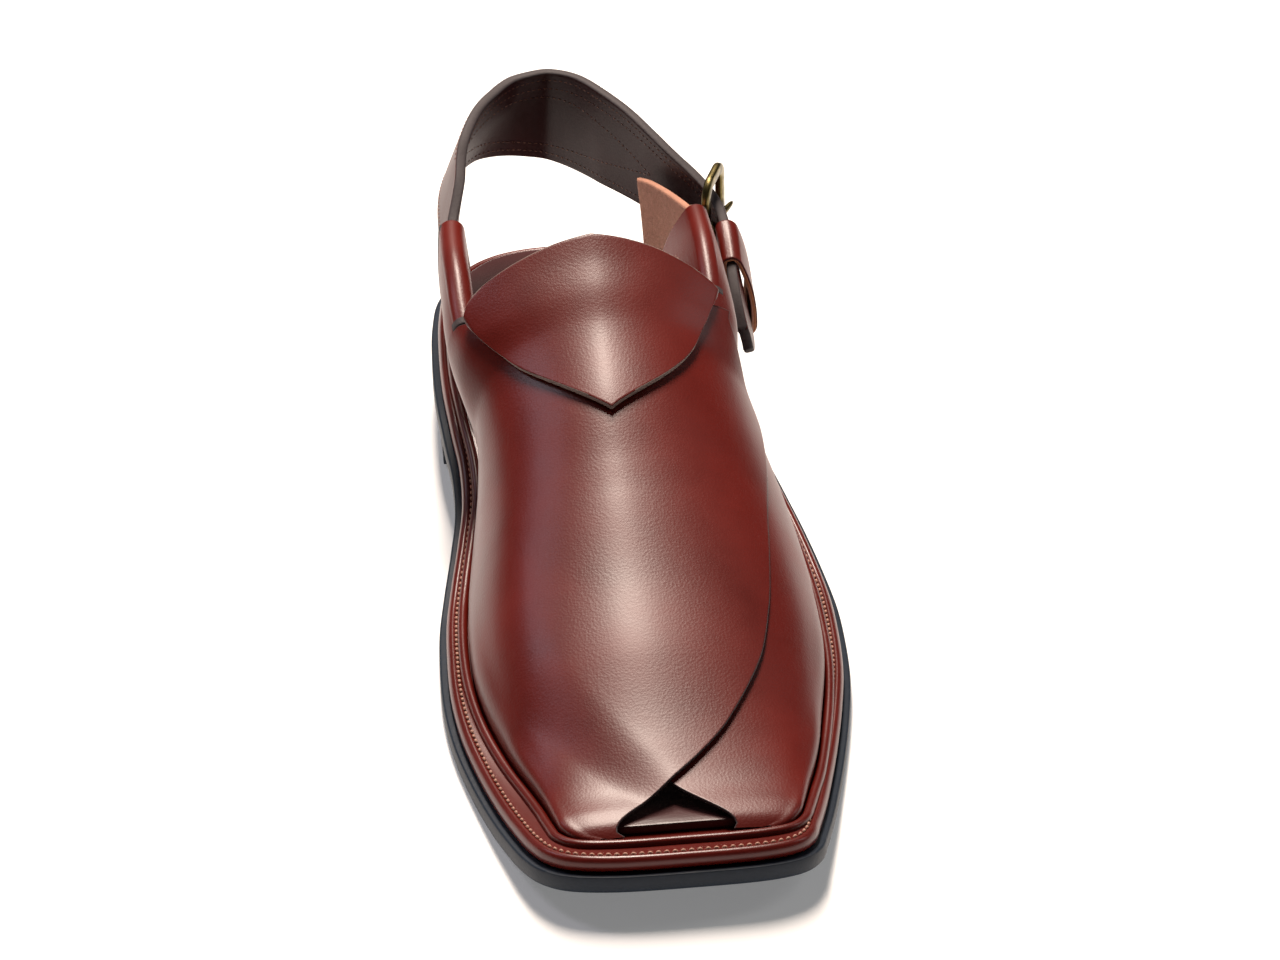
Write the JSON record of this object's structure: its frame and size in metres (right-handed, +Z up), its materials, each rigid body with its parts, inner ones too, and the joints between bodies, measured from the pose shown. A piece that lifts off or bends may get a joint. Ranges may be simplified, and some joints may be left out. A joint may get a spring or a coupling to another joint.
{
  "type": "peshawari chappal",
  "caption": "Open leather sandal with two crossing vamp panels, pointed instep tongue, buckled heel strap, stitched wrapped welt and low rubber heel; left shoe.",
  "frame": {"origin": "on the floor under the middle of the heel's tread", "axes": "toe to -Y, outer (lateral) side to +X, +Z up"},
  "size_m": [0.1116, 0.29, 0.0903],
  "materials": {
    "outsole": "matte slate black",
    "heel": "matte black",
    "welt": "satin red-brown, pale stitches",
    "insole": "dark brown, satin",
    "upper": "red-brown, satin with fine grain",
    "instep_tongue": "red-brown, satin with fine grain",
    "heel_strap": "red-brown outside, dark brown lining",
    "guard_flap": "tan flesh side, matte",
    "buckle": "antique brass, polished edges",
    "keeper": "red-brown, satin"
  },
  "bodies": {
    "root": {"outsole": "outsole", "heel": "heel", "welt": "welt", "insole": "insole", "upper": "upper", "instep_tongue": "instep_tongue", "heel_strap": "heel_strap", "guard_flap": "guard_flap", "buckle_frame": "buckle", "buckle_prong": "buckle", "keeper": "keeper"}
  },
  "joints": []
}
